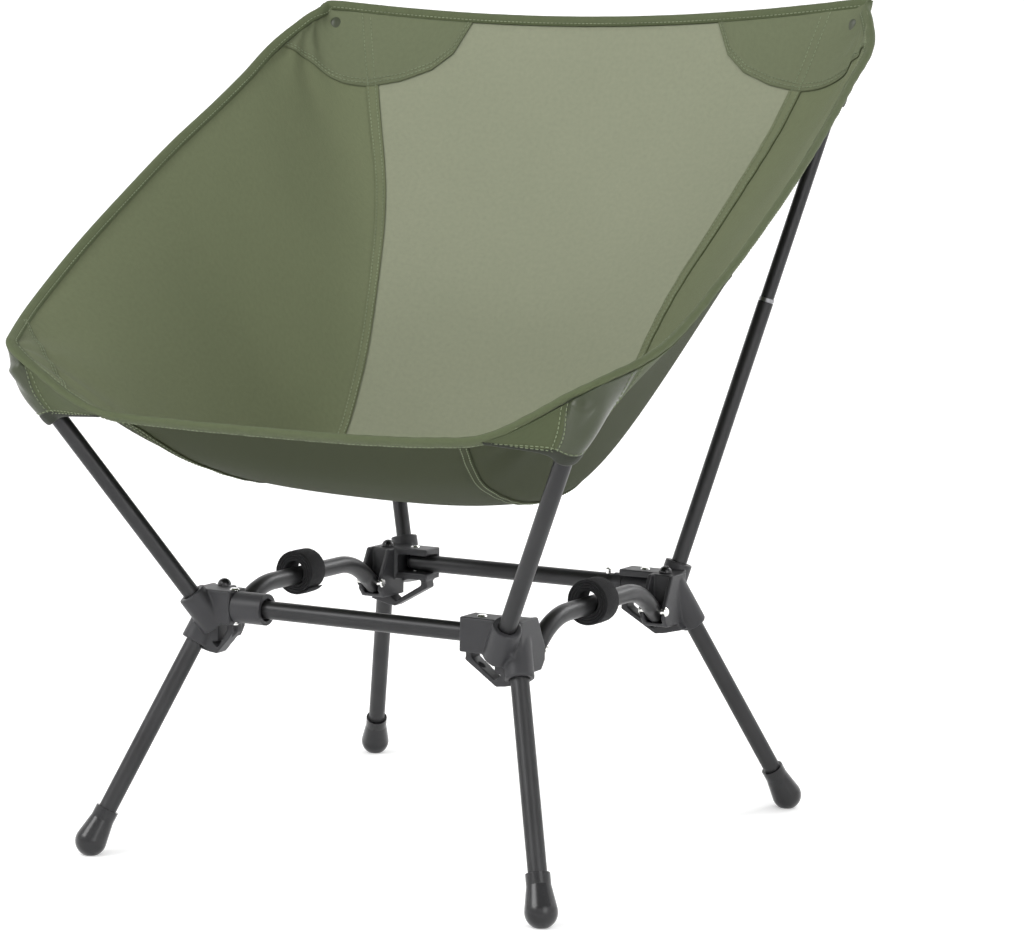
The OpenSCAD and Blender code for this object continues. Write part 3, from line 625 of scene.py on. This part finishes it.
def edge_tape():
    """A ribbed tape folded over the cut edge, with one row of stitches on each face."""
    path, inward, normal = binding_loop()
    w = TAPE_WIDTH
    half = [(w, 0.0016), (0.96 * w, 0.0027), (0.5 * w, 0.0030), (0.15 * w, 0.0027),
            (-0.0007, 0.0017), (-0.0012, 0.0)]
    profile = half + [(x, -y) for x, y in half[-2::-1]]
    ripple = 1 + 0.05 * np.sin(np.arange(len(path)) * 0.9)
    rings = np.stack([path + inward * x + normal * (y * ripple)[:, None]
                      for x, y in profile], axis=1)
    points, faces, uvs = tube_mesh(rings, closed=True)
    tape = add_mesh("edge_tape", points, faces, "binding_tape", "seat_cover", uvs)
    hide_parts("edge_binding")
    for sign in (1, -1):
        row = path + inward * 0.74 * w + normal * sign * 0.0030
        sew(np.vstack([row, row[:1]]), np.vstack([normal, normal[:1]]) * sign)


# ---- pockets over the pole tips --------------------------------------------------------

FRONT_POLE_R, REAR_POLE_R = 0.00675, 0.00575
SLEEVE_REACH = 0.070        # from the rear pole's tip down to the sleeve's mouth
SLEEVE_R = 0.0105           # round which the sleeve's and hem's cloth is reckoned
SLEEVE_SIDE_R, SLEEVE_BACK_R = REAR_POLE_R + 0.0034, REAR_POLE_R + 0.0030
SLEEVE_FLARE = 0.0045       # how much broader the sleeve is at its closed end


def pole_end(node):
    """The upper end of a straight tube's centre line and its direction, from its mesh."""
    co = np.array([v.co[:] for v in nodes[node].data.vertices])
    centre = co.mean(0)
    _, _, axes = np.linalg.svd(co - centre, full_matrices=False)
    d = axes[0] * np.sign(axes[0][2])
    along = (co - centre) @ d
    return centre + d * along.max(), d


def rear_sleeve(side, word):
    """A coated sleeve sewn behind the top corner: it closes over the pole's tip."""
    pole = "pole_rear_upper_" + word
    tip, d = pole_end(pole)
    back = -surface_normal(np.array(side * 0.85), np.array(0.95))
    back = back - d * (back @ d)
    back /= np.linalg.norm(back)
    across = np.cross(d, back)
    rings = []
    steps, sides = 34, 40
    for i in range(steps):
        t = i / (steps - 1)
        centre = tip + d * (-SLEEVE_REACH + (SLEEVE_REACH + 0.006) * t)
        mouth = 1 + 0.10 * math.exp(-9 * t)
        close = math.sqrt(max(1 - max(0, (t - 0.86) / 0.14) ** 2, 0.02))
        wide = (SLEEVE_SIDE_R + SLEEVE_FLARE * t) * mouth * close
        deep = SLEEVE_BACK_R * mouth * close
        centre = centre - back * 0.0012 * t
        ring = []
        for k in range(sides):
            a = 2 * math.pi * k / sides
            fold = 0.0006 * math.sin(3 * a + 9 * t) * math.sin(math.pi * t)
            ring.append(centre + across * (wide + fold) * math.cos(a)
                        + back * (deep + fold) * math.sin(a))
        rings.append(ring)
    outer = np.array(rings)
    middle = outer.mean(axis=1, keepdims=True)
    inner = middle + (outer - middle) * (1 - FABRIC / 0.0095)
    shell = np.concatenate([inner[:-3][::-1], outer], axis=0)
    points, faces, uvs = tube_mesh(shell)
    piece = add_mesh("sleeve_rear_" + word, points, faces, "pocket_fabric",
                     "seat_cover", uvs)
    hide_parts("pocket_rear_" + word)
    # the hem round the sleeve's mouth
    hem = []
    for i in range(9):
        t = i / 8
        centre = middle[0, 0] + d * (0.010 * t - 0.0008)
        swell = 0.0006 + 0.0007 * math.sin(math.pi * t)
        ring = outer[0] - middle[0, 0]
        ring = ring * (1 + swell / SLEEVE_R)
        hem.append(centre + ring)
    inside = [ring.mean(0) + (ring - ring.mean(0)) * 0.86 for ring in hem]
    points, faces, uvs = tube_mesh(np.array(inside[::-1] + hem), closed=True)
    add_mesh("sleeve_hem_rear_" + word, points, faces, "binding_tape", "seat_cover",
             uvs, MATERIALS["hem"])


COVER_FRONT_U, COVER_SIDE_V = 0.56, 0.27    # where the cover leaves the seat's edge
COVER_RIM_U, COVER_RIM_V = 0.992, 0.004     # its line just inside that edge
COVER_REACH = 0.044         # from the front pole's tip down to the cover's mouth
COVER_MIDDLE = (0.37, 0.63)  # the coated part, between its two seams
COVER_WRAP = 105            # degrees each way that the hem turns round the pole
COVER_CLEAR = 0.0034        # from the pole to the hem
COVER_SWELL = 0.0075        # how far the middle stands out over the tip


def push_off(points, foot, d, reach, radius):
    """Moves points that are too near a pole's line straight out to a radius."""
    rel = points - foot
    along = rel @ d
    out = rel - along[..., None] * d
    far = np.linalg.norm(out, axis=-1, keepdims=True)
    near = (far[..., 0] < radius) & (along > -0.004) & (along < reach)
    return np.where(near[..., None], points + out / far * (radius - far), points)


def keep_outside(points, side, gap=0.0026):
    """Moves points that have come through the seat back to its outer face."""
    u, v = span_grid(side * 0.45, side * 1.0, 0, 0.45, 50, 64)
    face, out = seat(u, v).reshape(-1, 3), -surface_normal(u, v).reshape(-1, 3)
    flat = points.reshape(-1, 3)
    near = ((face ** 2).sum(1) - 2 * flat @ face.T).argmin(axis=1)
    height = ((flat - face[near]) * out[near]).sum(axis=1)
    return (flat + out[near] * np.maximum(gap - height, 0)[:, None]).reshape(points.shape)


def corner_cover(side, word):
    """A triangle of cloth stretched from both edges of a front corner over the pole."""
    tip, d = pole_end("pole_front_" + word)
    foot = tip - d * COVER_REACH
    back = -surface_normal(np.array(side * 0.9), np.array(0.04))
    back -= d * (back @ d)
    back /= np.linalg.norm(back)
    across = np.cross(d, back)
    rim_end = seat(np.array(side * 0.99), np.array(COVER_SIDE_V), -0.002)
    if (rim_end - foot) @ across < 0:
        across = -across
    cols, rows = 121, 41
    s = np.linspace(0, 1, cols)
    bends = [0, *COVER_MIDDLE, 1]
    u = side * np.interp(s, [0, 0.5, 1], [COVER_FRONT_U, COVER_RIM_U, COVER_RIM_U])
    v = np.interp(s, [0, 0.5, 1], [COVER_RIM_V, COVER_RIM_V, COVER_SIDE_V])
    rim = seat(u, v, -0.0022)
    turn = np.radians(np.interp(s, bends, [-COVER_WRAP, -COVER_WRAP, COVER_WRAP, COVER_WRAP]))
    wrap = foot + (FRONT_POLE_R + COVER_CLEAR) * (np.cos(turn)[:, None] * back
                                       + np.sin(turn)[:, None] * across)
    blend = np.interp(s, bends, [1, 0, 0, 1])[:, None]
    ends = np.where(s[:, None] < 0.5, rim[0], rim[-1])
    hem = wrap * (1 - blend) + ends * blend
    for _ in range(10):
        hem[1:-1] = (hem[:-2] + 2 * hem[1:-1] + hem[2:]) / 4
    t = np.linspace(0, 1, rows)[:, None, None]
    swell = COVER_SWELL * np.exp(-((s - 0.5) / 0.15) ** 2)[None, :, None]
    grid = rim * (1 - t) + hem * t + back * swell * np.sin(math.pi * t)
    for _ in range(6):
        grid = push_off(keep_outside(grid, side), foot, d, COVER_REACH + 0.003,
                        FRONT_POLE_R + 0.0020)
        grid[1:-1, 1:-1] = (grid[:-2, 1:-1] + grid[2:, 1:-1] + grid[1:-1, :-2]
                            + grid[1:-1, 2:]) / 4
    grid = push_off(keep_outside(grid, side), foot, d, COVER_REACH + 0.003,
                    FRONT_POLE_R + 0.0012)
    normal = np.cross(np.gradient(grid, axis=1), np.gradient(grid, axis=0))
    normal /= np.maximum(np.linalg.norm(normal, axis=-1, keepdims=True), 1e-9)
    if (normal[rows // 2, cols // 2] @ back) < 0:
        normal = -normal
    high, low = grid + normal * FABRIC / 2, grid - normal * FABRIC / 2
    piece = skin("corner_cover_" + word, high, low, "pocket_fabric")
    # the cover's sides take the darker outside patch cloth, which is painted shade
    piece.data.materials.append(MATERIALS["shaded_outer_patch"])
    for face in piece.data.polygons:
        at = (face.vertices[0] % cols) / (cols - 1)
        if not COVER_MIDDLE[0] <= at <= COVER_MIDDLE[1]:
            face.material_index = 1
    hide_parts("pocket_front_" + word)
    for at in COVER_MIDDLE:
        for step in (-2, 2):
            col = int(round(at * (cols - 1))) + step
            sew(high[1:-1, col] + normal[1:-1, col] * 0.0003, normal[1:-1, col])
    for row in (-6, -3):
        sew(high[row, 6:-6] + normal[row, 6:-6] * 0.0003, normal[row, 6:-6])
    hem_band(word, grid[-1], normal[-1], grid[-1] - grid[-4], s)


def hem_band(word, line, normal, down, s):
    """The bound lower edge of a corner cover, broadest where it rounds the pole."""
    down = down / np.maximum(np.linalg.norm(down, axis=1, keepdims=True), 1e-9)
    broad = 0.0016 + 0.0040 * np.exp(-((s - 0.5) / 0.17) ** 4)
    rings = []
    for k in range(20):
        a = 2 * math.pi * k / 20
        rings.append(line + down * (broad * math.cos(a))[:, None]
                     + normal * 0.0014 * math.sin(a))
    points, faces, uvs = tube_mesh(np.stack(rings, axis=1)[2:-2])
    add_mesh("cover_hem_" + word, points, faces, "binding_tape", "seat_cover", uvs,
             MATERIALS["hem"])


# ---- frame pieces ----------------------------------------------------------------------


def moulded_hub(node):
    """The hub's own shape with moulded, rounded edges."""
    source = nodes[node]
    data = source.data.copy()
    data.name = node + "_moulded"
    piece = bpy.data.objects.new(node + "_moulded", data)
    bpy.context.scene.collection.objects.link(piece)
    remesh = piece.modifiers.new("voxels", "REMESH")
    remesh.mode = "VOXEL"
    remesh.voxel_size = 0.0008
    relax = piece.modifiers.new("rounding", "SMOOTH")
    relax.factor = 0.5
    relax.iterations = 9
    graph = bpy.context.evaluated_depsgraph_get()
    rounded = bpy.data.meshes.new_from_object(piece.evaluated_get(graph))
    piece.modifiers.clear()
    piece.data = rounded
    rounded.polygons.foreach_set("use_smooth", [True] * len(rounded.polygons))
    rounded.materials.clear()
    rounded.materials.append(MATERIALS["hub_nylon"])
    bpy.data.meshes.remove(data)
    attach(piece, "frame")
    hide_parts(node)


BEND_START, BEND_R, BEND_TURN, BEND_TAIL = 0.052, 0.075, math.radians(35), 0.020


def bar_line(steps=18):
    """Half of a side bar's centre line as (y, z), from its middle to its bent end."""
    line = [(0, 0)]
    for i in range(steps + 1):
        w = BEND_TURN * i / steps
        line.append((BEND_START + BEND_R * math.sin(w), -BEND_R * (1 - math.cos(w))))
    y, z = line[-1]
    line.append((y + BEND_TAIL * math.cos(BEND_TURN), z - BEND_TAIL * math.sin(BEND_TURN)))
    return line


def round_side_bar(word):
    """A smooth bent tube in place of the faceted one."""
    low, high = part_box("side_bar_" + word)
    x = (low[0] + high[0]) / 2
    r = (high[0] - low[0]) / 2
    z = high[2] - r
    half = bar_line()
    line = [(-y, dz) for y, dz in half[:0:-1]] + half[1:]
    sides = 48

    def ring(i, radius):
        y, dz = line[i]
        before, after = line[max(i - 1, 0)], line[min(i + 1, len(line) - 1)]
        d = np.array([0, after[0] - before[0], after[1] - before[1]])
        d /= np.linalg.norm(d)
        up = np.array([0, -d[2], d[1]])
        return [np.array([x, y, z + dz]) + radius * (np.array([1, 0, 0])
                * math.cos(2 * math.pi * k / sides) + up * math.sin(2 * math.pi * k / sides))
                for k in range(sides)]

    order = range(len(line))
    rings = [ring(i, r) for i in order] + [ring(i, r - 0.001) for i in reversed(order)]
    points, faces, uvs = tube_mesh(np.array(rings), closed=True)
    piece = add_mesh("bent_bar_" + word, points, faces, "pole_alloy", "frame", uvs)
    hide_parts("side_bar_" + word)


def rolled_strap(side, word):
    """Hook-and-loop tape wound on the side bar, with its end standing a little free."""
    low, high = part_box("tie_strap_" + word)
    centre = (np.array(low) + np.array(high)) / 2
    width = high[1] - low[1]
    outer_r = (high[0] - low[0]) / 2 - 0.0004
    inner_r, turns = 0.0105, 4.0
    pitch = (outer_r - inner_r) / turns
    thick = pitch * 0.93
    steps = 220
    rings = []
    for i in range(steps):
        t = i / (steps - 1)
        angle = side * (-2.3 + 2 * math.pi * turns * t)
        radius = inner_r + pitch * turns * t
        out = np.array([math.sin(angle), 0, math.cos(angle)])
        taper = min(1, (1 - t) * 26 + 0.45)
        half = width / 2 - 0.0004
        rings.append([centre + out * (radius - thick * taper) + np.array([0, -half, 0]),
                      centre + out * (radius - thick * 0.1) + np.array([0, -half, 0]),
                      centre + out * radius + np.array([0, -half + 0.0006, 0]),
                      centre + out * (radius + 0.0002) + np.array([0, 0, 0]),
                      centre + out * radius + np.array([0, half - 0.0006, 0]),
                      centre + out * (radius - thick * 0.1) + np.array([0, half, 0]),
                      centre + out * (radius - thick * taper) + np.array([0, half, 0])])
    points, faces, uvs = tube_mesh(np.array(rings))
    points = points.copy()
    for i, p in enumerate(points):
        nap = noise.noise(Vector(p) * 1900)
        points[i] = p + (p - centre) / np.linalg.norm(p - centre) * 0.00016 * nap
    piece = add_mesh("rolled_strap_" + word, points, faces, "hook_loop", "strap_" + word, uvs)
    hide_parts("tie_strap_" + word)


def dress_cad_nodes():
    """Each CAD node that is still shown gets its slot's material."""
    slots = {part["node"]: part["material_slot"] for part in frame["record"]["subparts"]}
    for name, piece in nodes.items():
        if piece.hide_render:
            continue
        piece.data.materials.clear()
        piece.data.materials.append(MATERIALS[slots[name]])


# ---- build -----------------------------------------------------------------------------

make_camera()
make_stage()
seat_panels()
corner_patches()
edge_tape()
for side, word in ((-1, "left"), (1, "right")):
    corner_cover(side, word)
    rear_sleeve(side, word)
    round_side_bar(word)
    rolled_strap(side, word)
add_mesh("stitches", stitch_points, stitch_faces, "binding_tape", "seat_cover",
         material=MATERIALS["thread"])
for hub in ("hub_front_left", "hub_front_right", "hub_rear_left", "hub_rear_right"):
    moulded_hub(hub)
dress_cad_nodes()
